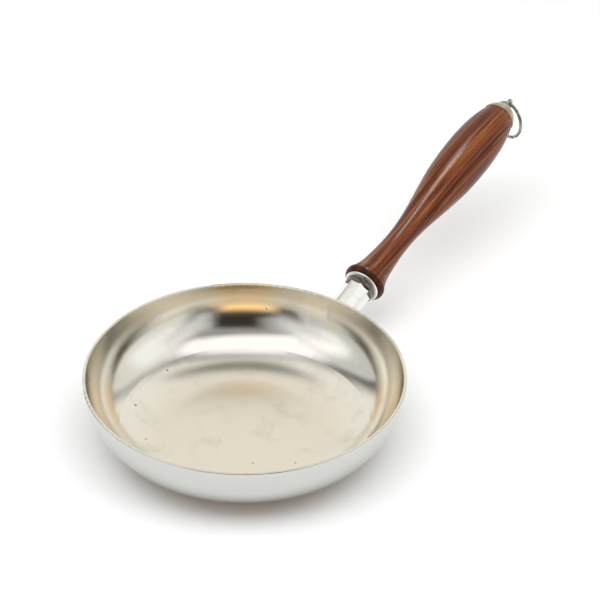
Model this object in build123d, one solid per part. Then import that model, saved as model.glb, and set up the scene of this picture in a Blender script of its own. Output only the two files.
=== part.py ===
"""Omelette pan: a spun metal pan with a fluted shank and a turned wooden handle.

Frame: the origin is at the centre of the pan's base, +Z is up and +X points
towards the handle. All lengths are in millimetres and all angles in degrees.
"""
from build123d import *
from math import cos, pi, radians, sin, sqrt, tan
import os

# Pan body, spun from one sheet
rim_radius = 100.0
pan_height = 47.6
heel_angle = 33.0
wall_angle = 86.0
sheet_thickness = 2.0

# Handle axis: it crosses the rim's cylinder at shank_height and rises from there. That
# height is shank_lift above a share of the pan's, so the shank's foot stays on the corner.
handle_tilt = 12.2
shank_lift = 15.18

# Shank, a tapered bar with hollow flutes, brazed to the wall
shank_length = 36.3
shank_radius = 9.7
flute_count = 8
flute_depth = 0.3
shank_chamfer = 0.8
spigot_radius = 6.5
spigot_seat = 6.0
braze_size = 1.3

# Ferrule between the shank and the wood
ferrule_length = 5.6
ferrule_radius = 12.3
lip_length = 1.9
neck_length = 1.5
neck_step = 0.5

# Wooden grip, turned round the same axis
grip_length = 189.2
bead_radius = 14.6
bead_length = 6.4
quirk_width = 0.6
quirk_depth = 0.35
waist_radius = 8.2
bulge_radius = 16.95
grip_end_radius = 11.6

# Rod that draws the handle together, with its washer and nut
rod_radius = 3.0
rod_engagement = 16.0
bore_clearance = 0.3
thread_clearance = 0.03
fit_clearance = 0.05
washer_radius = 6.8
washer_thickness = 1.2
nut_flats = 10.0
nut_height = 5.0
nut_chamfer = 0.5
rod_end_length = 2.0

# Domed end cap
cap_radius = 12.1
cap_height = 13.6
cap_wall = 1.0
cap_lip_height = 1.3
cap_lip_bead = 0.3
cap_tip_radius = 3.0

# Eye screwed into the rod through the cap, and the ring that hangs in it
eye_wire_radius = 1.05
eye_foot_radius = 2.8
eye_foot_height = 0.8
eye_stem_radius = 1.5
eye_stem_engagement = 6.0
ring_radius = 13.1
ring_wire_radius = 1.15
ring_play = 0.55
ring_yaw = 19.0

# Shares of the sizes above
heel_radius_share = 1.218
corner_radius_share = 0.945
shank_height_share = 0.2
foot_radius_share = 0.86
foot_reach_share = 0.5
braze_slope_share = 0.7
eye_sink_share = 0.6
corner_chamfer_share = 0.5
# Grip outline between bead and waist: place along that stretch, then radius between the two
trumpet_shares = [(0.00, 0.745), (0.08, 0.58), (0.18, 0.415), (0.32, 0.275), (0.50, 0.15), (0.74, 0.045)]
# Grip outline behind the waist: place along that stretch, then radius between waist and bulge
bulge_shares = [(0.14, 0.13), (0.25, 0.365), (0.36, 0.63), (0.47, 0.85), (0.58, 0.965), (0.675, 1.0)]
# Grip outline from the bulge to the end: place along it, then radius between end and bulge
tail_shares = [(0.27, 0.96), (0.52, 0.80), (0.76, 0.50)]
waist_place_share = 0.255
bead_top_share = 0.53
# Cap outline: height above the seat, then radius
cap_shares = [(0.30, 0.91), (0.56, 0.71), (0.80, 0.46)]

# Places worked out from the sizes: the pan turns up in a wide heel, then in a tighter corner
heel_radius = pan_height * heel_radius_share
corner_radius = pan_height * corner_radius_share
heel_turn = radians(heel_angle)
wall_turn = radians(wall_angle)
heel_rise = heel_radius * (1 - cos(heel_turn))
corner_rise = corner_radius * (cos(heel_turn) - cos(wall_turn))
heel_run = heel_radius * sin(heel_turn)
corner_run = corner_radius * (sin(wall_turn) - sin(heel_turn))
wall_run = (pan_height - heel_rise - corner_rise) / tan(wall_turn)
base_radius = rim_radius - wall_run - corner_run - heel_run
shank_height = pan_height * shank_height_share + shank_lift
ferrule_start = shank_length
grip_start = ferrule_start + ferrule_length
grip_end = grip_start + grip_length
spigot_end = grip_start + spigot_seat
nut_seat_depth = washer_thickness + nut_height + fit_clearance
washer_start = grip_end - nut_seat_depth
nut_start = washer_start + washer_thickness
rod_start = shank_length - rod_engagement
rod_end = nut_start + nut_height + rod_end_length
cap_tip = grip_end + cap_height
eye_radius = ring_wire_radius + eye_wire_radius + ring_play
eye_centre = (cap_tip + eye_foot_height + eye_radius + eye_wire_radius
              - eye_wire_radius * eye_sink_share)

handle_plane = Plane(
    origin=(rim_radius, 0, shank_height),
    x_dir=(-sin(radians(handle_tilt)), 0, cos(radians(handle_tilt))),
    z_dir=(cos(radians(handle_tilt)), 0, sin(radians(handle_tilt))),
)


def spot(radius, height):
    """A point of an outline: distance from the axis and height along it."""
    return (radius, 0, height)


def turned(edges):
    """The solid that a closed outline sweeps round the Z axis."""
    return revolve(make_face(edges), Axis.Z, 360)


def on_handle(shape):
    """A shape drawn about the Z axis, moved onto the handle's axis."""
    return handle_plane * shape


def rod_shape(radius, start, end):
    """A plain cylinder on the Z axis from one height to another."""
    return Pos(0, 0, start) * Cylinder(radius, end - start, align=(Align.CENTER, Align.CENTER, Align.MIN))


def bend(centre, radius, start, end):
    """An arc of the shell's outline: its angles are measured from straight down."""
    places = [spot(centre[0] + radius * sin(turn), centre[1] - radius * cos(turn))
              for turn in (start, (start + end) / 2, end)]
    return ThreePointArc(*places), places[-1]


def shell_outline(inset):
    """Edges of the pan's floor, heel, corner and wall, inset from the outer surface.

    Returns the edges from the axis outwards, and the point where they stop
    below the rim.
    """
    heel_centre = (base_radius, heel_radius)
    shift = heel_radius - corner_radius
    corner_centre = (base_radius + shift * sin(heel_turn), heel_radius - shift * cos(heel_turn))
    heel, heel_end = bend(heel_centre, heel_radius - inset, 0, heel_turn)
    corner, corner_end = bend(corner_centre, corner_radius - inset, heel_turn, wall_turn)
    top = pan_height - sheet_thickness / 2
    wall_end = spot(corner_end[0] + (top - corner_end[2]) / tan(wall_turn), top)
    edges = [
        Line(spot(0, inset), spot(base_radius, inset)),
        heel,
        corner,
        Line(corner_end, wall_end),
    ]
    return edges, wall_end


def pan_body():
    """The spun pan: flat floor, wide heel, round corner, steep wall and rounded rim."""
    outer, outer_top = shell_outline(0)
    inner, inner_top = shell_outline(sheet_thickness)
    rim_top = spot((outer_top[0] + inner_top[0]) / 2, pan_height)
    rim = ThreePointArc(outer_top, rim_top, inner_top)
    axis = Line(spot(0, 0), spot(0, sheet_thickness))
    return turned(outer + [rim] + inner + [axis])


def pan_filled(grow=0):
    """The pan's outer shape without its hollow, to cut or shape what is brazed to it."""
    outer, outer_top = shell_outline(-grow)
    lid_centre = spot(0, outer_top[2])
    return turned(outer + [Line(outer_top, lid_centre), Line(lid_centre, spot(0, -grow))])


def fluted_section(radius, height):
    """One section of the shank: sharp ridges joined by shallow hollow flutes."""
    step = 2 * pi / flute_count
    ridges = [((n + 0.5) * step) for n in range(flute_count)]
    middle = radius * cos(step / 2) - flute_depth
    arcs = []
    for angle in ridges:
        centre = angle + step / 2
        after = angle + step
        arcs.append(ThreePointArc(
            (radius * cos(angle), radius * sin(angle)),
            (middle * cos(centre), middle * sin(centre)),
            (radius * cos(after), radius * sin(after)),
        ))
    return Pos(0, 0, height) * make_face(arcs)


def fluted_bar(grow=0):
    """The shank's fluted length run on through the wall, thickened by grow."""
    foot = fluted_section(shank_radius * foot_radius_share + grow, -corner_radius * foot_reach_share)
    top = fluted_section(shank_radius + grow, shank_length)
    return loft([foot, top], ruled=True)


def shank_bar():
    """The fluted length with the ridges' sharp corners taken off under the ferrule."""
    cone_base = shank_radius + shank_chamfer * corner_chamfer_share
    cone_top = shank_radius - shank_chamfer * corner_chamfer_share
    cone_start = shank_length - shank_chamfer
    below = rod_shape(cone_base, -corner_radius, cone_start)
    tip = Pos(0, 0, cone_start) * Cone(
        cone_base, cone_top, shank_chamfer, align=(Align.CENTER, Align.CENTER, Align.MIN))
    return fluted_bar() & (below + tip)


def shank():
    """The shank with its spigot, tapped for the rod and cut to the pan's wall."""
    solid = shank_bar() + rod_shape(spigot_radius, shank_length, spigot_end)
    tapped = rod_shape(rod_radius + thread_clearance, rod_start - rod_radius, spigot_end)
    return on_handle(solid - tapped) - pan_filled()


def touches(body, point):
    """Whether a point lies on one of a body's faces."""
    return min(face.distance_to(point) for face in body.faces()) < fit_clearance / 10


def braze_seam():
    """The bead of braze all round the shank's foot, its outer corner sloped off."""
    shell = pan_filled(braze_size)
    bar = on_handle(fluted_bar(braze_size))
    bead = (shell & bar) - pan_filled() - on_handle(fluted_bar())
    corner = [edge for edge in bead.edges() if touches(shell, edge @ 0.5) and touches(bar, edge @ 0.5)]
    return chamfer(corner, braze_size * braze_slope_share)


def ferrule():
    """The ferrule: a short neck, a hollow cove and a rounded lip against the wood."""
    neck_radius = shank_radius + neck_step
    cove_start = ferrule_start + neck_length
    lip_start = grip_start - lip_length
    cove_radius = neck_radius - neck_step / 2
    lip_foot = ferrule_radius - lip_length / 3
    bore = spigot_radius + fit_clearance
    outline = [
        Line(spot(bore, ferrule_start), spot(neck_radius, ferrule_start)),
        Line(spot(neck_radius, ferrule_start), spot(neck_radius, cove_start)),
        Line(spot(neck_radius, cove_start), spot(cove_radius, cove_start)),
        ThreePointArc(
            spot(cove_radius, cove_start),
            spot(cove_radius + (lip_foot - cove_radius) / 4, lip_start - (lip_start - cove_start) / 4),
            spot(lip_foot, lip_start)),
        ThreePointArc(
            spot(lip_foot, lip_start),
            spot(ferrule_radius, grip_start - lip_length / 2),
            spot(lip_foot, grip_start)),
        Line(spot(lip_foot, grip_start), spot(bore, grip_start)),
        Line(spot(bore, grip_start), spot(bore, ferrule_start)),
    ]
    return on_handle(turned(outline))


def grip_curve():
    """The long curve of the grip, from behind its bead's quirk to its end."""
    bead_end = grip_start + bead_length + quirk_width
    waist = grip_start + grip_length * waist_place_share
    front = waist - bead_end
    points = [spot(waist_radius + (bead_radius - waist_radius) * rise, bead_end + front * place)
              for place, rise in trumpet_shares]
    points.append(spot(waist_radius, waist))
    behind = grip_end - waist
    points += [spot(waist_radius + (bulge_radius - waist_radius) * rise, waist + behind * place)
               for place, rise in bulge_shares]
    bulge = waist + behind * bulge_shares[-1][0]
    tail = grip_end - bulge
    points += [spot(grip_end_radius + (bulge_radius - grip_end_radius) * rise, bulge + tail * place)
               for place, rise in tail_shares]
    points.append(spot(grip_end_radius, grip_end))
    return Spline(points)


def grip():
    """The turned wooden grip with its front bead, bored for the rod."""
    curve = grip_curve()
    start = curve @ 0
    bore = rod_radius + bore_clearance
    socket = spigot_radius + bore_clearance
    seat = washer_radius + bore_clearance
    socket_end = spigot_end + bore_clearance
    corners = [
        spot(grip_end_radius, grip_end), spot(seat, grip_end), spot(seat, washer_start),
        spot(bore, washer_start), spot(bore, socket_end), spot(socket, socket_end),
        spot(socket, grip_start), spot(ferrule_radius, grip_start),
    ]
    bead_foot = spot(start.X - quirk_depth, start.Z - quirk_width)
    bead_top = spot(bead_radius, grip_start + bead_length * bead_top_share)
    bead = ThreePointArc(corners[-1], bead_top, bead_foot)
    quirk = Line(bead_foot, spot(start.X, start.Z))
    outline = [curve, quirk, bead] + [Line(a, b) for a, b in zip(corners, corners[1:])]
    return on_handle(turned(outline))


def tie_rod():
    """The threaded rod through the grip, drilled at its end for the eye."""
    hole_start = rod_end - eye_stem_engagement - eye_stem_radius
    hole = rod_shape(eye_stem_radius + thread_clearance, hole_start, rod_end)
    return on_handle(rod_shape(rod_radius, rod_start, rod_end) - hole)


def washer():
    """The flat washer under the nut."""
    ring = rod_shape(washer_radius, washer_start, nut_start)
    return on_handle(ring - rod_shape(rod_radius + fit_clearance, washer_start, nut_start))


def nut():
    """The hexagon nut that draws the grip up to the ferrule."""
    corner = nut_flats / sqrt(3)
    prism = Pos(0, 0, nut_start) * extrude(RegularPolygon(corner, 6), nut_height)
    rounded = rod_shape(corner, nut_start, nut_start + nut_height)
    rounded = chamfer(rounded.edges(), nut_chamfer)
    hole = rod_shape(rod_radius + thread_clearance, nut_start, nut_start + nut_height)
    return on_handle((prism & rounded) - hole)


def cap_dome(radius, start, end, tip):
    """The dome's outline, from the top of the cap's lip to the flat at its tip."""
    rise = end - start
    points = [spot(radius, start + cap_lip_height)]
    points += [spot(radius * share, start + rise * place) for place, share in cap_shares]
    points.append(spot(tip, end))
    return Spline(points)


def end_cap():
    """The thin domed cap over the end of the wood, with a hole for the eye's stem."""
    inner_radius = cap_radius - cap_wall
    inner_tip = cap_tip - cap_wall
    inner_tip_radius = cap_tip_radius - cap_wall / 2
    dome_radius = cap_radius - cap_lip_bead
    hole = eye_stem_radius + fit_clearance
    lip_top = grip_end + cap_lip_height
    lip = ThreePointArc(
        spot(dome_radius, grip_end),
        spot(cap_radius, grip_end + cap_lip_height / 2),
        spot(dome_radius, lip_top))
    closing = [
        Line(spot(dome_radius, grip_end), spot(inner_radius, grip_end)),
        Line(spot(inner_radius, grip_end), spot(inner_radius, lip_top)),
        Line(spot(cap_tip_radius, cap_tip), spot(hole, cap_tip)),
        Line(spot(hole, cap_tip), spot(hole, inner_tip)),
        Line(spot(hole, inner_tip), spot(inner_tip_radius, inner_tip)),
    ]
    outer = cap_dome(dome_radius, grip_end, cap_tip, cap_tip_radius)
    inner = cap_dome(inner_radius, grip_end, inner_tip, inner_tip_radius)
    return on_handle(turned([lip, outer, inner] + closing))


def eye():
    """The eye: a closed loop on a small foot, with the stem that screws into the rod."""
    loop = Pos(0, 0, eye_centre) * Rot(90, 0, 0) * Torus(eye_radius, eye_wire_radius)
    foot = rod_shape(eye_foot_radius, cap_tip, cap_tip + eye_foot_height)
    foot = fillet(foot.edges().sort_by(Axis.Z)[-1], eye_foot_height / 2)
    stem = rod_shape(eye_stem_radius, rod_end - eye_stem_engagement, cap_tip)
    return on_handle(loop + foot + stem)


def ring_pivot():
    """The middle of the eye's hole, in the pan's frame."""
    return handle_plane.from_local_coords((0, 0, eye_centre))


def hang_ring():
    """The round wire ring, hanging from the eye and turned a little in it."""
    pivot = ring_pivot()
    centre = (pivot.X, pivot.Y, pivot.Z - ring_radius)
    facing = (cos(radians(ring_yaw)), -sin(radians(ring_yaw)), 0)
    return Plane(origin=centre, z_dir=facing) * Torus(ring_radius, ring_wire_radius)


sub_parts = {
    "pan_body": pan_body,
    "braze_seam": braze_seam,
    "handle_shank": shank,
    "ferrule": ferrule,
    "wooden_grip": grip,
    "tie_rod": tie_rod,
    "tie_washer": washer,
    "tie_nut": nut,
    "end_cap": end_cap,
    "hanging_eye": eye,
    "hanging_ring": hang_ring,
}


def main():
    """Write each sub-part and print where the ring hangs and swings."""
    os.makedirs("parts", exist_ok=True)
    for name, build in sub_parts.items():
        export_step(Part() + build(), "parts/" + name + ".step")
    pivot = ring_pivot()
    print("ring pivot:", round(pivot.X, 4), round(pivot.Y, 4), round(pivot.Z, 4))
    print("base radius:", round(base_radius, 3))


main()
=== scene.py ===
"""Looks of the omelette pan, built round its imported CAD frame.

The CAD nodes keep their shapes. This file gives them their finishes, with the wear
that shows in them, and sets the table, the studio and the camera. All lengths are
in metres in the CAD's own frame: the origin is under the middle of the pan, +X
points along the handle and +Z is up.
"""
from math import cos, radians, sin, tan
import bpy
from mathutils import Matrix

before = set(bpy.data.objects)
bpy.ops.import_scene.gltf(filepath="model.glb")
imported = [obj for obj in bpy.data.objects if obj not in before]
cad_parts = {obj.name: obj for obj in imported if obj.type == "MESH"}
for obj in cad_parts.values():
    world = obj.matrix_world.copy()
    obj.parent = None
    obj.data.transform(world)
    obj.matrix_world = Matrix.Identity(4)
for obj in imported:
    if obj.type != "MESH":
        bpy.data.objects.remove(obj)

from types import SimpleNamespace

import bmesh
import bpy
from mathutils import Matrix, Vector

bl_info = {
    "name": "Omelette pan",
    "version": (1, 0, 0),
    "blender": (4, 5, 0),
    "location": "3D View > Sidebar > Omelette pan",
    "description": "Finishes, wear and studio of a small omelette pan",
    "category": "Object",
}

MM = 0.001

# The handle's own frame: its origin on the rim's cylinder, Z along the handle, X upwards
HANDLE_TILT = radians(12.2)
HANDLE_START = Vector((0.1, 0.0, 0.0247))
HANDLE_ALONG = Vector((cos(HANDLE_TILT), 0.0, sin(HANDLE_TILT)))
HANDLE_UP = Vector((-sin(HANDLE_TILT), 0.0, cos(HANDLE_TILT)))
HANDLE_TURN = Matrix((HANDLE_UP, HANDLE_ALONG.cross(HANDLE_UP), HANDLE_ALONG)).transposed()

# Where the pan's finishes change, each as where the change starts and where it is full:
# distances from the axis, heights over the table, and distances from the middle of the reflection painted
# on the far wall
FLOOR_RADII = (78 * MM, 50 * MM)
BAND_HEIGHTS = (24 * MM, 40 * MM)
BROWNED_HEIGHTS = (15 * MM, 5 * MM)
# A golden reflection painted high on the far wall: its middle, then the distances where it starts and where
# it is full
PAINTED_REFLECTION_PLACE = (81.5 * MM, 55.0 * MM, 39.0 * MM)
PAINTED_REFLECTION_REACH = (30 * MM, 8 * MM)

# Where the handle's finishes and the bead's painted shade change, as distances along it from its start
COVE_FOOT = (35.2 * MM, 36.6 * MM)
COVE_LIP = (40.2 * MM, 39.4 * MM)
BEAD_SHADE_SPAN = (46.5 * MM, 43.5 * MM)

# How fine the patterns of wear and grain are, in cells to the metre
BLOTCH_CELLS = 45.0
SCRATCH_CELLS = 420.0
SWELL_CELLS = 22.0
BRAZE_CELLS = 500.0
SHANK_CELLS = 160.0
SWAY_CELLS = 9.0
PORE_CELLS = 1500.0
CAP_CELLS = 260.0
WIRE_CELLS = 320.0
ROD_CELLS = 300.0

# The table is a disc just under the pan's base
TABLE_RADIUS = 6.0
TABLE_DROP = 0.1 * MM

# The photograph's camera, fitted to the outlines of the rim and the handle
SENSOR_WIDTH = 36.0
CAMERA_PLACE = Vector((-0.9121, -0.6064, 0.8474))
CAMERA_FORWARD = Vector((0.7020, 0.4366, -0.5627))
CAMERA_UP = Vector((0.4691, 0.3111, 0.8266))
AHEAD = Vector((CAMERA_FORWARD.x, CAMERA_FORWARD.y, 0)).normalized()
ASIDE = Vector((AHEAD.y, -AHEAD.x, 0))

# Small pits in the pan's plate, where the photograph shows them: place and radius in
# millimetres. A pit is full at a share of its radius, and not quite opaque there.
PITS = (
    ((18.5, 72.4, 8.9), 1.1), ((-21.7, 68.7, 7.5), 1.4), ((-42.7, 45.5, 4.0), 1.0),
    ((-24.0, -21.8, 2.0), 0.9), ((-9.5, -43.7, 2.0), 0.9), ((85.8, 40.0, 30.9), 0.9),
)
PIT_CORE = 0.3
PIT_DEPTH = 0.65

# The studio round the pan, as panels of light: corners (azimuth, elevation) and soft edge
# in degrees, then linear red, green and blue. Later panels lie over earlier ones. They
# were fitted to the reflections in the photographed pan, and partly reset.
ROOM = (0.08, 0.08, 0.08, 1.0)
PANELS = (
    # left bank and its bright middle
    (((-58, -8), (-62, 17), (-98, 61), (-150, -6)), 4, (0.63, 0.66, 0.66)),
    (((-89, 22), (-98, 48), (-158, 37), (-116, 16)), 9, (1.22, 1.24, 1.28)),
    # right bank and its bright middle
    (((48, -8), (50, 23), (92, 58), (147, -6)), 6, (0.81, 0.82, 0.80)),
    (((79, 16), (74, 42), (148, 36), (119, 15)), 8, (1.04, 1.07, 1.10)),
    # far wall, and the dim patch high on it
    (((-45, -12), (-87, 64), (80, 60), (36, -8)), 7, (0.94, 0.94, 0.91)),
    (((-40, 57), (-55, 75), (50, 77), (52, 55)), 7, (0.26, 0.26, 0.25)),
    # strip lamp overhead
    (((-91, 49), (92, 52), (124, 45), (-136, 42)), 8, (1.25, 1.26, 1.32)),
    # dim end of the room, and the dark of the camera
    (((-138, 43), (136, 45), (147, 27), (-155, 22)), 3, (0.36, 0.37, 0.39)),
    (((-167, 44), (152, 41), (152, 21), (-171, 20)), 6, (0.03, 0.03, 0.03)),
    # pale sides beside the camera
    (((-106, 25), (-152, 44), (-160, 10), (-165, 14)), 10, (0.76, 0.79, 0.82)),
    (((146, 40), (108, 34), (150, 8), (155, 12)), 9, (0.74, 0.77, 0.79)),
    # warm floor at the near end and its bright part
    (((-141, 2), (141, 2), (146, -35), (-146, -35)), 5, (0.62, 0.54, 0.36)),
    (((-160, 12), (160, 12), (163, -6), (-161, -6)), 7, (1.45, 1.12, 0.66)),
)


# Settings that many nodes share
SMOOTH = {"interpolation_type": "SMOOTHSTEP"}
RGBA = {"data_type": "RGBA"}
MULTIPLY = {"operation": "MULTIPLY"}
MULTIPLY_ADD = {"operation": "MULTIPLY_ADD"}
SUBTRACT = {"operation": "SUBTRACT"}
CLAMPED_ADD = {"operation": "ADD", "use_clamp": True}
DOT_PRODUCT = {"operation": "DOT_PRODUCT"}
DISTANCE = {"operation": "DISTANCE"}


# Colours and nodes

def linear(code):
    """An sRGB hex colour as linear red, green, blue and alpha."""
    parts = [int(code[i:i + 2], 16) / 255 for i in (1, 3, 5)]
    return tuple(p / 12.92 if p <= 0.04045 else ((p + 0.055) / 1.055) ** 2.4 for p in parts) + (1.0,)


def node(tree, kind, settings=None, **links):
    """Add a node: its properties from settings, its sockets from links by name or number."""
    made = tree.nodes.new(kind)
    for key, value in (settings or {}).items():
        setattr(made, key, value)
    for key, value in links.items():
        name = int(key[1:]) if key[0] == "_" and key[1:].isdigit() else key.replace("_", " ")
        socket = made.inputs[name]
        if isinstance(value, bpy.types.NodeSocket):
            tree.links.new(value, socket)
        else:
            socket.default_value = value
    return made


def material(name):
    """A new node material, with its node tree and its Principled shader."""
    made = bpy.data.materials.new(name)
    made.use_nodes = True
    return made, made.node_tree, made.node_tree.nodes["Principled BSDF"]


def ramp(made, stops):
    """Set a colour ramp's stops from (place, colour) pairs."""
    elements = made.color_ramp.elements
    while len(elements) > 1:
        elements.remove(elements[-1])
    for number, (place, colour) in enumerate(stops):
        stop = elements[0] if number == 0 else elements.new(place)
        stop.position = place
        stop.color = colour
    return made.outputs["Color"]


def dress(name, finish):
    """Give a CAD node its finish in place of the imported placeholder."""
    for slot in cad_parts[name].material_slots:
        slot.material = finish


def fit(tree, place, turn):
    """Object coordinates measured from a place, in a frame turned by a rotation matrix."""
    coordinates = tree.nodes.new("ShaderNodeTexCoord")
    return node(tree, "ShaderNodeMapping", {"vector_type": "TEXTURE"},
                Vector=coordinates.outputs["Object"],
                Location=place, Rotation=turn.to_euler()).outputs["Vector"]


# Finishes

class PanFinish(bpy.types.PropertyGroup):
    """Colours and wear of the spun pan."""
    silver: bpy.props.StringProperty(
        name="Outside silver", description="Silver plate outside, as an sRGB hex colour", default="#CDCDCA")
    straw: bpy.props.StringProperty(
        name="Wall straw tint", description="Seasoned silver of the inner wall, as an sRGB hex colour",
        default="#EDE8DD")
    floor: bpy.props.StringProperty(
        name="Floor straw tint", description="Seasoned silver of the floor, as an sRGB hex colour",
        default="#EBE3D3")
    heat: bpy.props.StringProperty(
        name="Heat brown", description="Underside browned by the flame, as an sRGB hex colour",
        default="#A98B62")
    stain: bpy.props.StringProperty(
        name="Stain", description="Faint burnt-on stain, as an sRGB hex colour", default="#8B7A5C")
    band: bpy.props.StringProperty(
        name="Band under the rim", default="#EAE4D5",
        description="Heat tint of the inner wall under the rim, as an sRGB hex colour")
    # Colour of the golden reflection painted high on the far wall
    warm_reflection: bpy.props.StringProperty(
        name="Warm place", description="Stronger heat tint on the far wall, as an sRGB hex colour",
        default="#FADFB6")
    pit: bpy.props.StringProperty(
        name="Pit", description="Small pits where the plate has gone, as an sRGB hex colour",
        default="#4A3D2C")
    braze_dark: bpy.props.StringProperty(
        name="Dark braze", description="Dark lumps of the braze, as an sRGB hex colour",
        default="#9A8B6C")
    braze_light: bpy.props.StringProperty(
        name="Light braze", description="Light lumps of the braze, as an sRGB hex colour",
        default="#CFC5A8")
    satin: bpy.props.FloatProperty(
        name="Floor roughness", description="Roughness of the rubbed floor", default=0.24, min=0, max=1)
    band_satin: bpy.props.FloatProperty(
        name="Band roughness", description="How much rougher the band under the rim is than the wall",
        default=0.09, min=0, max=1)
    polish: bpy.props.FloatProperty(
        name="Wall roughness", description="Roughness of the polished wall, inside and out",
        default=0.12, min=0, max=1)
    ring_pitch: bpy.props.FloatProperty(
        name="Spinning ring pitch", default=0.9 * MM, subtype="DISTANCE", unit="LENGTH", precision=5,
        description="Distance between two spinning rings, drawn coarse enough to show")


class HandleFinish(bpy.types.PropertyGroup):
    """Colours and figure of the turned handle."""
    wood_light: bpy.props.StringProperty(
        name="Light wood", description="Light growth layers, as an sRGB hex colour", default="#95592F")
    wood_middle: bpy.props.StringProperty(
        name="Middle wood", description="The wood's main tone, as an sRGB hex colour", default="#733917")
    wood_dark: bpy.props.StringProperty(
        name="Dark wood", description="Dark streaks, as an sRGB hex colour", default="#3A0F03")
    wood_deep: bpy.props.StringProperty(
        name="Deep wood", description="Wood between the middle tone and the streaks, as an sRGB hex colour",
        default="#5C280E")
    pore: bpy.props.StringProperty(
        name="Pore", description="Dirt in the open pores, as an sRGB hex colour",
        default="#2A0D06")
    # Colour of the painted shade on the bead's front, against the ferrule
    bead_shade: bpy.props.StringProperty(
        name="Old polish", description="Old polish round the bead's front, as an sRGB hex colour",
        default="#2E1009")
    layer_width: bpy.props.FloatProperty(
        name="Growth layer", description="Distance between two dark streaks",
        default=6.5 * MM, subtype="DISTANCE", unit="LENGTH", precision=5)
    streak_width: bpy.props.FloatProperty(
        name="Fine streak", description="Distance between two fine streaks",
        default=1.7 * MM, subtype="DISTANCE", unit="LENGTH", precision=5)
    grain_lean: bpy.props.FloatProperty(
        name="Grain lean", description="How far the grain leans from the handle's axis",
        default=radians(2.5), subtype="ANGLE", unit="ROTATION")
    grain_turn: bpy.props.FloatProperty(
        name="Grain turn", description="Which way round the handle the growth layers stand on edge",
        default=radians(204), subtype="ANGLE", unit="ROTATION")
    silver: bpy.props.StringProperty(
        name="Shank silver", description="Silver plate of shank and ferrule, as an sRGB hex colour",
        default="#F3F1E9")
    tarnish: bpy.props.StringProperty(
        name="Tarnish", description="Old tarnish in the ferrule's cove, as an sRGB hex colour",
        default="#4C4432")
    cap: bpy.props.StringProperty(
        name="Cap silver", description="Worn plate of the end cap, as an sRGB hex colour",
        default="#B8AD92")
    cap_dark: bpy.props.StringProperty(
        name="Dark cap silver", description="Darker patches of the end cap, as an sRGB hex colour",
        default="#8C7F62")
    cap_light: bpy.props.StringProperty(
        name="Light cap silver", description="Rubbed patches of the end cap, as an sRGB hex colour",
        default="#D6CEBA")
    wire: bpy.props.StringProperty(
        name="Ring wire", description="Worn wire of ring and eye, as an sRGB hex colour",
        default="#9C958A")
    wire_dark: bpy.props.StringProperty(
        name="Dark ring wire", description="Darker patches of ring and eye, as an sRGB hex colour",
        default="#6F6A62")
    wire_light: bpy.props.StringProperty(
        name="Light ring wire", description="Rubbed patches of ring and eye, as an sRGB hex colour",
        default="#DAD6CC")
    rod_dark: bpy.props.StringProperty(
        name="Dark steel", description="Darker patches of rod, washer and nut, as an sRGB hex colour",
        default="#7E7A72")
    rod_light: bpy.props.StringProperty(
        name="Light steel", description="Brighter patches of rod, washer and nut, as an sRGB hex colour",
        default="#B8B5AE")


class StudioSettings(bpy.types.PropertyGroup):
    """Lamps and lens of the studio; a brightness of 1 is white."""
    lens: bpy.props.FloatProperty(
        name="Lens", description="Focal length on a 36 mm sensor", default=132.0, unit="CAMERA")
    box_power: bpy.props.FloatProperty(
        name="Soft box power", description="Power of the soft box overhead", default=14.5, unit="POWER")
    box_width: bpy.props.FloatProperty(
        name="Soft box width", description="Width of the soft box", default=2.2, unit="LENGTH")
    box_depth: bpy.props.FloatProperty(
        name="Soft box depth", description="Depth of the soft box", default=0.9, unit="LENGTH")
    lamp_distance: bpy.props.FloatProperty(
        name="Lamp distance", default=1.5, unit="LENGTH",
        description="How far the soft box is from the pan, and the narrow lamp from the grip")
    box_lean: bpy.props.FloatProperty(
        name="Soft box lean", description="How far the soft box leans towards the camera, as a slope",
        default=0.32)
    gloss_power: bpy.props.FloatProperty(
        name="Gloss strip power", description="Power of the narrow lamp for the grip's gloss",
        default=10.0, unit="POWER")
    gloss_length: bpy.props.FloatProperty(
        name="Gloss strip length", description="Length of the narrow lamp", default=0.6, unit="LENGTH")
    gloss_width: bpy.props.FloatProperty(
        name="Gloss strip width", description="Width of the narrow lamp", default=0.34, unit="LENGTH")
    gloss_place: bpy.props.FloatProperty(
        name="Gloss place", description="Where along the handle the gloss is centred",
        default=104 * MM, unit="LENGTH")
    gloss_turn: bpy.props.FloatProperty(
        name="Gloss turn", description="How far round the grip the gloss lies from its middle",
        default=radians(-19), subtype="ANGLE", unit="ROTATION")
    gloss_lean: bpy.props.FloatProperty(
        name="Gloss lean", default=radians(5), subtype="ANGLE", unit="ROTATION",
        description="How far the gloss leans to the slope on the pan's side of the bulge")
    paper_white: bpy.props.StringProperty(
        name="Table white", description="Paper of the table, as an sRGB hex colour",
        default="#F2F2F1")
    paper: bpy.props.FloatProperty(
        name="Paper glow", description="How much the table is lifted to white", default=0.05)


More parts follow.
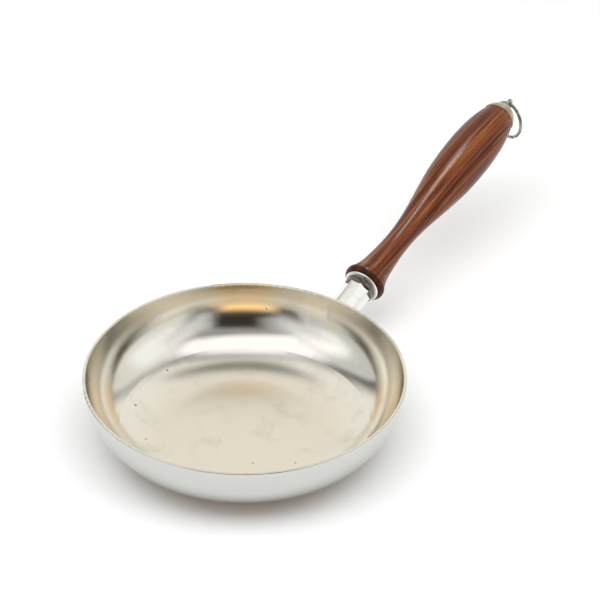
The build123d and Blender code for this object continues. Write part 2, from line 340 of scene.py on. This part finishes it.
def pan_fields(tree):
    """What the pan's patterns are read from: place, side, floor, band under the rim and blotches."""
    coordinates = tree.nodes.new("ShaderNodeTexCoord").outputs
    place = coordinates["Object"]
    parts = node(tree, "ShaderNodeSeparateXYZ", Vector=place).outputs
    flat = node(tree, "ShaderNodeCombineXYZ", X=parts["X"], Y=parts["Y"]).outputs["Vector"]
    radius = node(tree, "ShaderNodeVectorMath", {"operation": "LENGTH"}, _0=flat).outputs["Value"]
    around = node(tree, "ShaderNodeVectorMath", {"operation": "NORMALIZE"}, _0=flat).outputs["Vector"]
    # A face that looks up or towards the axis is inside the pan
    upward = node(tree, "ShaderNodeSeparateXYZ", Vector=coordinates["Normal"]).outputs["Z"]
    outward = node(tree, "ShaderNodeVectorMath", DOT_PRODUCT,
                   _0=coordinates["Normal"], _1=around).outputs["Value"]
    inward = node(tree, "ShaderNodeMath", SUBTRACT, _0=upward, _1=outward).outputs["Value"]
    inside = node(tree, "ShaderNodeMapRange", SMOOTH,
                  Value=inward, From_Min=-0.25, From_Max=0.35).outputs["Result"]
    floor = node(tree, "ShaderNodeMapRange", SMOOTH,
                 Value=radius, From_Min=FLOOR_RADII[0], From_Max=FLOOR_RADII[1]).outputs["Result"]
    band = node(tree, "ShaderNodeMapRange", SMOOTH,
                Value=parts["Z"], From_Min=BAND_HEIGHTS[0], From_Max=BAND_HEIGHTS[1]).outputs["Result"]
    # Blotches from use, about 22 mm across
    blotch = node(tree, "ShaderNodeTexNoise", Vector=place, Scale=BLOTCH_CELLS,
                  Detail=5.0, Roughness=0.6).outputs["Fac"]
    return SimpleNamespace(place=place, height=parts["Z"], radius=radius, around=around,
                           inside=inside, floor=floor, band=band, blotch=blotch)


def pan_pits(tree, fields):
    """How far a place lies in one of the small pits."""
    pits = None
    for pit, size in PITS:
        away = node(tree, "ShaderNodeVectorMath", DISTANCE,
                    _0=fields.place, _1=[v * MM for v in pit]).outputs["Value"]
        dark = node(tree, "ShaderNodeMapRange", SMOOTH, Value=away,
                    From_Min=size * MM, From_Max=PIT_CORE * size * MM, To_Max=PIT_DEPTH).outputs["Result"]
        pits = dark if pits is None else node(
            tree, "ShaderNodeMath", {"operation": "MAXIMUM"}, _0=pits, _1=dark).outputs["Value"]
    return pits


def pan_tint(tree, fields, look):
    """Colour of the pan: silver outside, straw and heat tints inside with a painted reflection high on the
    far wall, brown underneath.
    """
    tint = node(tree, "ShaderNodeMix", RGBA, _0=fields.floor,
                _6=linear(look.straw), _7=linear(look.floor)).outputs[2]
    tint = node(tree, "ShaderNodeMix", RGBA, _0=fields.band,
                _6=tint, _7=linear(look.band)).outputs[2]
    # A golden reflection painted high on the far wall, near the rim
    apart = node(tree, "ShaderNodeVectorMath", DISTANCE,
                 _0=fields.place, _1=PAINTED_REFLECTION_PLACE).outputs["Value"]
    warm_reflection = node(tree, "ShaderNodeMapRange", SMOOTH, Value=apart,
                From_Min=PAINTED_REFLECTION_REACH[0], From_Max=PAINTED_REFLECTION_REACH[1], To_Max=0.8).outputs["Result"]
    tint = node(tree, "ShaderNodeMix", RGBA, _0=warm_reflection,
                _6=tint, _7=linear(look.warm_reflection)).outputs[2]
    tint = node(tree, "ShaderNodeMix", RGBA, _0=fields.inside,
                _6=linear(look.silver), _7=tint).outputs[2]
    stained = node(tree, "ShaderNodeMapRange", SMOOTH,
                   Value=fields.blotch, From_Min=0.52, From_Max=0.75, To_Max=0.16).outputs["Result"]
    stained = node(tree, "ShaderNodeMath", MULTIPLY,
                   _0=stained, _1=fields.inside).outputs["Value"]
    tint = node(tree, "ShaderNodeMix", RGBA, _0=stained,
                _6=tint, _7=linear(look.stain)).outputs[2]
    low = node(tree, "ShaderNodeMapRange", SMOOTH, Value=fields.height,
               From_Min=BROWNED_HEIGHTS[0], From_Max=BROWNED_HEIGHTS[1], To_Max=0.85).outputs["Result"]
    outside = node(tree, "ShaderNodeMath", SUBTRACT, _0=1.0, _1=fields.inside).outputs["Value"]
    browned = node(tree, "ShaderNodeMath", MULTIPLY, _0=low, _1=outside).outputs["Value"]
    tint = node(tree, "ShaderNodeMix", RGBA, _0=browned,
                _6=tint, _7=linear(look.heat)).outputs[2]
    return node(tree, "ShaderNodeMix", RGBA, _0=pan_pits(tree, fields),
                _6=tint, _7=linear(look.pit)).outputs[2]


def pan_roughness(tree, fields, look):
    """Roughness of the pan: a rubbed floor, a satin band under the rim, polish elsewhere."""
    rough = node(tree, "ShaderNodeMix", {"data_type": "FLOAT"}, _0=fields.floor,
                 _2=look.polish, _3=look.satin).outputs[0]
    worn = node(tree, "ShaderNodeMapRange", Value=fields.blotch, From_Min=0.3, From_Max=0.7,
                To_Min=-0.02, To_Max=0.03).outputs["Result"]
    rough = node(tree, "ShaderNodeMath", {"operation": "ADD"}, _0=rough, _1=worn).outputs["Value"]
    satin = node(tree, "ShaderNodeMath", MULTIPLY,
                 _0=fields.band, _1=fields.inside).outputs["Value"]
    return node(tree, "ShaderNodeMath", MULTIPLY_ADD,
                _0=satin, _1=look.band_satin, _2=rough).outputs["Value"]


def pan_relief(tree, fields, look):
    """Relief of the pan: spinning rings, fine scratches and a slow swell of the sheet."""
    # The rings follow the distance from the axis, and waver a little on their way round
    turn = node(tree, "ShaderNodeVectorMath", {"operation": "SCALE"},
                _0=fields.around, Scale=0.35).outputs["Vector"]
    depth = node(tree, "ShaderNodeMath", SUBTRACT,
                 _0=fields.radius, _1=fields.height).outputs["Value"]
    ring_place = node(tree, "ShaderNodeMath", {"operation": "DIVIDE"},
                      _0=depth, _1=look.ring_pitch).outputs["Value"]
    ring_vector = node(tree, "ShaderNodeCombineXYZ", Z=ring_place).outputs["Vector"]
    ring_field = node(tree, "ShaderNodeVectorMath", {"operation": "ADD"},
                      _0=turn, _1=ring_vector).outputs["Vector"]
    rings = node(tree, "ShaderNodeTexNoise", Vector=ring_field, Scale=1.0, Detail=2.0).outputs["Fac"]
    fine = node(tree, "ShaderNodeTexNoise", Vector=fields.place, Scale=SCRATCH_CELLS,
                Detail=3.0).outputs["Fac"]
    height = node(tree, "ShaderNodeMath", MULTIPLY_ADD,
                  _0=rings, _1=0.5, _2=fine).outputs["Value"]
    bump = node(tree, "ShaderNodeBump", Height=height, Strength=0.35, Distance=0.02 * MM).outputs["Normal"]
    swell = node(tree, "ShaderNodeTexNoise", Vector=fields.place, Scale=SWELL_CELLS,
                 Detail=1.0).outputs["Fac"]
    return node(tree, "ShaderNodeBump", Height=swell, Strength=0.5, Distance=0.15 * MM,
                Normal=bump).outputs["Normal"]


class PAN_OT_finish_pan(bpy.types.Operator):
    """Give the pan its spun silver, its seasoned inside and its browned underside"""
    bl_idname = "pan.finish_pan"
    bl_label = "Finish the pan"

    def execute(self, context):
        look = context.scene.pan_finish
        # Silver plate on a spun pan: the rubbed inside is satin and straw coloured from
        # seasoning, the outside is brighter, and the flame has browned the underside.
        made, tree, shader = material("spun_silver_plate")
        fields = pan_fields(tree)
        tree.links.new(pan_tint(tree, fields, look), shader.inputs["Base Color"])
        tree.links.new(pan_roughness(tree, fields, look), shader.inputs["Roughness"])
        tree.links.new(pan_relief(tree, fields, look), shader.inputs["Normal"])
        shader.inputs["Metallic"].default_value = 1.0
        dress("pan_body", made)
        return {"FINISHED"}


class PAN_OT_finish_braze(bpy.types.Operator):
    """Give the bead of braze its dull alloy"""
    bl_idname = "pan.finish_braze"
    bl_label = "Finish the braze"

    def execute(self, context):
        look = context.scene.pan_finish
        # Brazing alloy: a dull yellowish bead, left as it flowed, in 2 mm lumps.
        made, tree, shader = material("brazing_alloy_as_cast")
        coordinates = tree.nodes.new("ShaderNodeTexCoord")
        lumps = node(tree, "ShaderNodeTexNoise", Vector=coordinates.outputs["Object"],
                     Scale=BRAZE_CELLS, Detail=3.0).outputs["Fac"]
        colour = ramp(node(tree, "ShaderNodeValToRGB", Fac=lumps),
                      [(0.3, linear(look.braze_dark)), (0.7, linear(look.braze_light))])
        tree.links.new(colour, shader.inputs["Base Color"])
        bump = node(tree, "ShaderNodeBump", Height=lumps, Strength=0.5,
                    Distance=0.15 * MM).outputs["Normal"]
        tree.links.new(bump, shader.inputs["Normal"])
        shader.inputs["Metallic"].default_value = 1.0
        shader.inputs["Roughness"].default_value = 0.42
        dress("braze_seam", made)
        return {"FINISHED"}


class PAN_OT_finish_shank(bpy.types.Operator):
    """Give the fluted shank and its ferrule their polished silver"""
    bl_idname = "pan.finish_shank"
    bl_label = "Finish shank and ferrule"

    def execute(self, context):
        look = context.scene.handle_finish
        # Silver plate, polished: near mirror, softened by wear, with tarnish left
        # where the polishing cloth does not reach.
        made, tree, shader = material("polished_silver_plate")
        coordinates = tree.nodes.new("ShaderNodeTexCoord")
        handle = fit(tree, HANDLE_START, HANDLE_TURN)
        along = node(tree, "ShaderNodeSeparateXYZ", Vector=handle).outputs["Z"]
        blotch = node(tree, "ShaderNodeTexNoise", Vector=coordinates.outputs["Object"],
                      Scale=SHANK_CELLS, Detail=4.0).outputs["Fac"]
        corner = node(tree, "ShaderNodeMapRange", SMOOTH,
                      Value=along, From_Min=COVE_FOOT[0], From_Max=COVE_FOOT[1]).outputs["Result"]
        lip = node(tree, "ShaderNodeMapRange", SMOOTH,
                   Value=along, From_Min=COVE_LIP[0], From_Max=COVE_LIP[1]).outputs["Result"]
        cove = node(tree, "ShaderNodeMath", MULTIPLY, _0=corner, _1=lip).outputs["Value"]
        speckle = node(tree, "ShaderNodeMapRange", SMOOTH,
                       Value=blotch, From_Min=0.55, From_Max=0.72, To_Max=0.12).outputs["Result"]
        tarnish = node(tree, "ShaderNodeMath", {"operation": "MULTIPLY_ADD", "use_clamp": True},
                       _0=cove, _1=0.9, _2=speckle).outputs["Value"]
        colour = node(tree, "ShaderNodeMix", RGBA, _0=tarnish,
                      _6=linear(look.silver), _7=linear(look.tarnish)).outputs[2]
        tree.links.new(colour, shader.inputs["Base Color"])
        rough = node(tree, "ShaderNodeMapRange", Value=blotch, From_Min=0.3, From_Max=0.8,
                     To_Min=0.08, To_Max=0.18).outputs["Result"]
        tree.links.new(rough, shader.inputs["Roughness"])
        bump = node(tree, "ShaderNodeBump", Height=blotch, Strength=0.2,
                    Distance=0.03 * MM).outputs["Normal"]
        tree.links.new(bump, shader.inputs["Normal"])
        shader.inputs["Metallic"].default_value = 1.0
        dress("handle_shank", made)
        dress("ferrule", made)
        return {"FINISHED"}


class PAN_OT_finish_grip(bpy.types.Operator):
    """Give the turned grip its oiled rosewood"""
    bl_idname = "pan.finish_grip"
    bl_label = "Finish the grip"

    def execute(self, context):
        look = context.scene.handle_finish
        # Rosewood, oiled and rubbed: red brown with dark growth layers that lean a
        # little from the handle's axis, open pores along the grain, a soft gloss.
        made, tree, shader = material("oiled_rosewood")
        lean = Matrix.Rotation(look.grain_turn, 3, "Z") @ Matrix.Rotation(look.grain_lean, 3, "X")
        grain = fit(tree, HANDLE_START, HANDLE_TURN @ lean)
        sway = node(tree, "ShaderNodeTexNoise", Vector=grain, Scale=SWAY_CELLS,
                    Detail=0.0).outputs["Color"]
        # The trunk was not quite straight: the grain sways by up to 3 mm
        grain = node(tree, "ShaderNodeVectorMath", MULTIPLY_ADD,
                     _0=sway, _1=(3.0 * MM, 3.0 * MM, 0.0), _2=grain).outputs["Vector"]
        # The layers are sheets, nearly flat one way and very long along the handle
        stretch = node(tree, "ShaderNodeVectorMath", MULTIPLY,
                       _0=grain, _1=(0.16, 1.0, 0.009)).outputs["Vector"]
        layers = node(tree, "ShaderNodeTexNoise", Vector=stretch, Scale=1 / look.layer_width,
                      Detail=1.0, Roughness=0.5).outputs["Fac"]
        streaks = node(tree, "ShaderNodeTexNoise", Vector=stretch, Scale=1 / look.streak_width,
                       Detail=5.0, Roughness=0.66).outputs["Fac"]
        figure = node(tree, "ShaderNodeMix", {"data_type": "FLOAT"}, _0=0.7,
                      _2=layers, _3=streaks).outputs[0]
        colour = ramp(node(tree, "ShaderNodeValToRGB", Fac=figure), [
            (0.40, linear(look.wood_dark)), (0.46, linear(look.wood_deep)),
            (0.51, linear(look.wood_middle)), (0.61, linear(look.wood_light))])
        # Open pores, 0.67 mm apart across the grain and long along it
        fibre_field = node(tree, "ShaderNodeVectorMath", MULTIPLY,
                           _0=grain, _1=(1.0, 1.0, 0.03)).outputs["Vector"]
        fibres = node(tree, "ShaderNodeTexNoise", Vector=fibre_field, Scale=PORE_CELLS,
                      Detail=2.0).outputs["Fac"]
        pores = node(tree, "ShaderNodeMapRange", SMOOTH,
                     Value=fibres, From_Min=0.42, From_Max=0.30).outputs["Result"]
        shade = node(tree, "ShaderNodeMath", MULTIPLY, _0=pores, _1=0.25).outputs["Value"]
        colour = node(tree, "ShaderNodeMix", RGBA, _0=shade,
                      _6=colour, _7=linear(look.pore)).outputs[2]
        # Painted shade darkens the bead's front, against the ferrule
        handle = fit(tree, HANDLE_START, HANDLE_TURN)
        along = node(tree, "ShaderNodeSeparateXYZ", Vector=handle).outputs["Z"]
        front = node(tree, "ShaderNodeMapRange", SMOOTH,
                     Value=along, From_Min=BEAD_SHADE_SPAN[0], From_Max=BEAD_SHADE_SPAN[1],
                     To_Max=0.8).outputs["Result"]
        colour = node(tree, "ShaderNodeMix", RGBA, _0=front,
                      _6=colour, _7=linear(look.bead_shade)).outputs[2]
        tree.links.new(colour, shader.inputs["Base Color"])
        rough = node(tree, "ShaderNodeMapRange", Value=fibres, From_Min=0.3, From_Max=0.7,
                     To_Min=0.34, To_Max=0.26).outputs["Result"]
        tree.links.new(rough, shader.inputs["Roughness"])
        bump = node(tree, "ShaderNodeBump", Height=fibres, Strength=0.25,
                    Distance=0.05 * MM).outputs["Normal"]
        tree.links.new(bump, shader.inputs["Normal"])
        shader.inputs["Specular IOR Level"].default_value = 0.06
        shader.inputs["Coat Weight"].default_value = 0.38
        shader.inputs["Coat IOR"].default_value = 1.45
        shader.inputs["Coat Roughness"].default_value = 0.17
        dress("wooden_grip", made)
        return {"FINISHED"}


class PAN_OT_finish_cap(bpy.types.Operator):
    """Give the cap its worn silver, and the eye and the ring their wire"""
    bl_idname = "pan.finish_cap"
    bl_label = "Finish cap, eye and ring"

    def execute(self, context):
        look = context.scene.handle_finish
        # Silver plate worn to a champagne tone, scuffed satin by hooks and hands.
        made, tree, shader = material("worn_champagne_plate")
        coordinates = tree.nodes.new("ShaderNodeTexCoord")
        blotch = node(tree, "ShaderNodeTexNoise", Vector=coordinates.outputs["Object"],
                      Scale=CAP_CELLS, Detail=5.0, Roughness=0.65).outputs["Fac"]
        colour = ramp(node(tree, "ShaderNodeValToRGB", Fac=blotch), [
            (0.30, linear(look.cap_dark)), (0.48, linear(look.cap)), (0.75, linear(look.cap_light))])
        tree.links.new(colour, shader.inputs["Base Color"])
        rough = node(tree, "ShaderNodeMapRange", Value=blotch, From_Min=0.3, From_Max=0.7,
                     To_Min=0.40, To_Max=0.24).outputs["Result"]
        tree.links.new(rough, shader.inputs["Roughness"])
        bump = node(tree, "ShaderNodeBump", Height=blotch, Strength=0.4,
                    Distance=0.06 * MM).outputs["Normal"]
        tree.links.new(bump, shader.inputs["Normal"])
        shader.inputs["Metallic"].default_value = 1.0
        dress("end_cap", made)

        # Drawn wire, worn grey with darker patches between the rubbed ones.
        made, tree, shader = material("worn_drawn_wire")
        coordinates = tree.nodes.new("ShaderNodeTexCoord")
        blotch = node(tree, "ShaderNodeTexNoise", Vector=coordinates.outputs["Object"],
                      Scale=WIRE_CELLS, Detail=4.0, Roughness=0.6).outputs["Fac"]
        colour = ramp(node(tree, "ShaderNodeValToRGB", Fac=blotch), [
            (0.32, linear(look.wire_dark)), (0.5, linear(look.wire)), (0.72, linear(look.wire_light))])
        tree.links.new(colour, shader.inputs["Base Color"])
        rough = node(tree, "ShaderNodeMapRange", Value=blotch, From_Min=0.3, From_Max=0.7,
                     To_Min=0.34, To_Max=0.18).outputs["Result"]
        tree.links.new(rough, shader.inputs["Roughness"])
        shader.inputs["Metallic"].default_value = 1.0
        dress("hanging_ring", made)
        dress("hanging_eye", made)
        return {"FINISHED"}


class PAN_OT_finish_rod(bpy.types.Operator):
    """Give the hidden rod, washer and nut their plain steel"""
    bl_idname = "pan.finish_rod"
    bl_label = "Finish the tie rod"

    def execute(self, context):
        look = context.scene.handle_finish
        # Bright mild steel, dulled by age: hidden in the handle.
        made, tree, shader = material("dull_mild_steel")
        coordinates = tree.nodes.new("ShaderNodeTexCoord")
        blotch = node(tree, "ShaderNodeTexNoise", Vector=coordinates.outputs["Object"],
                      Scale=ROD_CELLS, Detail=3.0).outputs["Fac"]
        colour = ramp(node(tree, "ShaderNodeValToRGB", Fac=blotch), [
            (0.35, linear(look.rod_dark)), (0.65, linear(look.rod_light))])
        tree.links.new(colour, shader.inputs["Base Color"])
        shader.inputs["Metallic"].default_value = 1.0
        shader.inputs["Roughness"].default_value = 0.4
        for name in ("tie_rod", "tie_washer", "tie_nut"):
            dress(name, made)
        return {"FINISHED"}


# Studio

def direction(azimuth, elevation):
    """The way to a point of the studio; azimuth is from straight ahead of the camera, in degrees."""
    flat = cos(radians(elevation))
    return (AHEAD * cos(radians(azimuth)) * flat + ASIDE * sin(radians(azimuth)) * flat
            + Vector((0, 0, sin(radians(elevation)))))


def panel(tree, way, corners, soft):
    """How far a direction lies on a panel with these corners, from 0 to 1 over its soft edges."""
    ends = [direction(*corner) for corner in corners]
    middle = sum(ends, Vector((0, 0, 0)))
    reach = sin(radians(soft))
    share = None
    for start, end in zip(ends, ends[1:] + ends[:1]):
        edge = start.cross(end).normalized()
        if edge.dot(middle) < 0:
            edge.negate()
        past = node(tree, "ShaderNodeVectorMath", DOT_PRODUCT,
                    _0=way, _1=edge).outputs["Value"]
        within = node(tree, "ShaderNodeMapRange", SMOOTH,
                      Value=past, From_Min=-reach, From_Max=reach).outputs["Result"]
        share = within if share is None else node(
            tree, "ShaderNodeMath", MULTIPLY, _0=share, _1=within).outputs["Value"]
    return share


def place_camera(scene, look):
    """Put the photograph's camera in its place."""
    data = bpy.data.cameras.new("camera")
    data.lens = look.lens
    data.sensor_width = SENSOR_WIDTH
    camera = bpy.data.objects.new("camera", data)
    scene.collection.objects.link(camera)
    right = CAMERA_FORWARD.cross(CAMERA_UP).normalized()
    up = right.cross(CAMERA_FORWARD).normalized()
    turn = Matrix((right, up, -CAMERA_FORWARD.normalized())).transposed().to_4x4()
    camera.matrix_world = Matrix.Translation(CAMERA_PLACE) @ turn
    scene.camera = camera
    scene.view_settings.view_transform = "Standard"


def lay_table(scene, look):
    """Lay the white paper table: matt, bright enough to be white where nothing shades it."""
    made, tree, shader = material("matt_white_paper")
    path = tree.nodes.new("ShaderNodeLightPath").outputs
    paper = node(tree, "ShaderNodeBsdfDiffuse", Color=linear(look.paper_white))
    seen = node(tree, "ShaderNodeMath", CLAMPED_ADD,
                _0=path["Is Camera Ray"], _1=path["Is Glossy Ray"]).outputs["Value"]
    seen = node(tree, "ShaderNodeMath", CLAMPED_ADD,
                _0=seen, _1=path["Is Transmission Ray"]).outputs["Value"]
    share = node(tree, "ShaderNodeMath", MULTIPLY, _0=seen, _1=look.paper).outputs["Value"]
    glow = node(tree, "ShaderNodeEmission", Color=(1, 1, 1, 1), Strength=share)
    both = node(tree, "ShaderNodeAddShader", _0=paper.outputs[0], _1=glow.outputs[0])
    tree.links.new(both.outputs[0], tree.nodes["Material Output"].inputs["Surface"])
    mesh = bmesh.new()
    bmesh.ops.create_circle(mesh, cap_ends=True, segments=64, radius=TABLE_RADIUS)
    bmesh.ops.translate(mesh, vec=(0, 0, -TABLE_DROP), verts=mesh.verts)
    data = bpy.data.meshes.new("table")
    mesh.to_mesh(data)
    mesh.free()
    table = bpy.data.objects.new("table", data)
    scene.collection.objects.link(table)
    data.materials.append(made)


def lamp(scene, name, size, power, place, along, back):
    """Hang a rectangular lamp at a place, its width along one way and its back to another."""
    data = bpy.data.lights.new(name, "AREA")
    data.shape = "RECTANGLE"
    data.size, data.size_y = size
    data.energy = power
    made = bpy.data.objects.new(name, data)
    turn = Matrix((along, back.cross(along), back)).transposed().to_4x4()
    made.matrix_world = Matrix.Translation(place) @ turn
    made.visible_camera = False
    scene.collection.objects.link(made)
    return made


def hang_soft_box(scene, look):
    """Hang the soft box overhead. It lights what is matt, and no reflection shows it."""
    back = -(AHEAD * look.box_lean + Vector((0, 0, -1))).normalized()
    box = lamp(scene, "soft_box", (look.box_width, look.box_depth), look.box_power,
               back * look.lamp_distance, ASIDE, back)
    box.visible_glossy = False


def hang_gloss_strip(scene, look):
    """Hang the narrow lamp that draws the long gloss on the turned grip, and lights nothing else."""
    place = HANDLE_START + HANDLE_ALONG * look.gloss_place
    to_camera = (CAMERA_PLACE - place).normalized()
    facing = (to_camera - HANDLE_ALONG * to_camera.dot(HANDLE_ALONG)).normalized()
    facing = Matrix.Rotation(look.gloss_turn, 3, HANDLE_ALONG) @ facing
    facing = (facing - HANDLE_ALONG * tan(look.gloss_lean)).normalized()
    away = (facing * (2 * facing.dot(to_camera)) - to_camera).normalized()
    length = (HANDLE_ALONG - away * HANDLE_ALONG.dot(away)).normalized()
    strip = lamp(scene, "gloss_strip", (look.gloss_length, look.gloss_width), look.gloss_power,
                 place + away * look.lamp_distance, length, away)
    strip.visible_diffuse = False
    polished = bpy.data.collections.new("gloss_strip_lights")
    polished.objects.link(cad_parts["wooden_grip"])
    strip.light_linking.receiver_collection = polished


def light_room(scene):
    """Make the room: white to the camera, and panels of light to everything else."""
    world = bpy.data.worlds.new("white_room")
    scene.world = world
    world.use_nodes = True
    tree = world.node_tree
    way = node(tree, "ShaderNodeVectorMath", {"operation": "NORMALIZE"},
               _0=tree.nodes.new("ShaderNodeTexCoord").outputs["Generated"]).outputs["Vector"]
    light = ROOM
    for corners, soft, colour in PANELS:
        light = node(tree, "ShaderNodeMix", RGBA, _0=panel(tree, way, corners, soft),
                     _6=light, _7=colour + (1.0,)).outputs[2]
    path = tree.nodes.new("ShaderNodeLightPath").outputs
    seen = node(tree, "ShaderNodeMath", CLAMPED_ADD,
                _0=path["Is Camera Ray"], _1=path["Is Transmission Ray"]).outputs["Value"]
    light = node(tree, "ShaderNodeMix", RGBA, _0=seen, _6=light, _7=(1, 1, 1, 1)).outputs[2]
    tree.links.new(light, tree.nodes["Background"].inputs["Color"])


class PAN_OT_set_stage(bpy.types.Operator):
    """Lay the table, light the room and place the camera"""
    bl_idname = "pan.set_stage"
    bl_label = "Set the stage"

    def execute(self, context):
        scene = context.scene
        look = scene.studio_settings
        place_camera(scene, look)
        lay_table(scene, look)
        hang_soft_box(scene, look)
        hang_gloss_strip(scene, look)
        light_room(scene)
        return {"FINISHED"}


class PAN_PT_sidebar(bpy.types.Panel):
    """The pan's finishes and its studio"""
    bl_idname = "PAN_PT_sidebar"
    bl_label = "Omelette pan"
    bl_space_type = "VIEW_3D"
    bl_region_type = "UI"
    bl_category = "Omelette pan"

    def draw(self, context):
        for group in ("pan_finish", "handle_finish", "studio_settings"):
            box = self.layout.box()
            settings = getattr(context.scene, group)
            for name in settings.bl_rna.properties.keys():
                if name not in ("rna_type", "name"):
                    box.prop(settings, name)
        for operator in OPERATORS:
            self.layout.operator(operator.bl_idname)


OPERATORS = (PAN_OT_finish_pan, PAN_OT_finish_braze, PAN_OT_finish_shank, PAN_OT_finish_grip,
             PAN_OT_finish_cap, PAN_OT_finish_rod, PAN_OT_set_stage)
GROUPS = (PanFinish, HandleFinish, StudioSettings)
KINDS = GROUPS + OPERATORS + (PAN_PT_sidebar,)


def register():
    for kind in KINDS:
        bpy.utils.register_class(kind)
    bpy.types.Scene.pan_finish = bpy.props.PointerProperty(type=PanFinish)
    bpy.types.Scene.handle_finish = bpy.props.PointerProperty(type=HandleFinish)
    bpy.types.Scene.studio_settings = bpy.props.PointerProperty(type=StudioSettings)


def unregister():
    for name in ("pan_finish", "handle_finish", "studio_settings"):
        delattr(bpy.types.Scene, name)
    for kind in reversed(KINDS):
        bpy.utils.unregister_class(kind)


def main():
    """Register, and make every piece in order."""
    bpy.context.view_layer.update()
    register()
    bpy.ops.pan.finish_pan()
    bpy.ops.pan.finish_braze()
    bpy.ops.pan.finish_shank()
    bpy.ops.pan.finish_grip()
    bpy.ops.pan.finish_cap()
    bpy.ops.pan.finish_rod()
    bpy.ops.pan.set_stage()


if __name__ == "__main__":
    main()
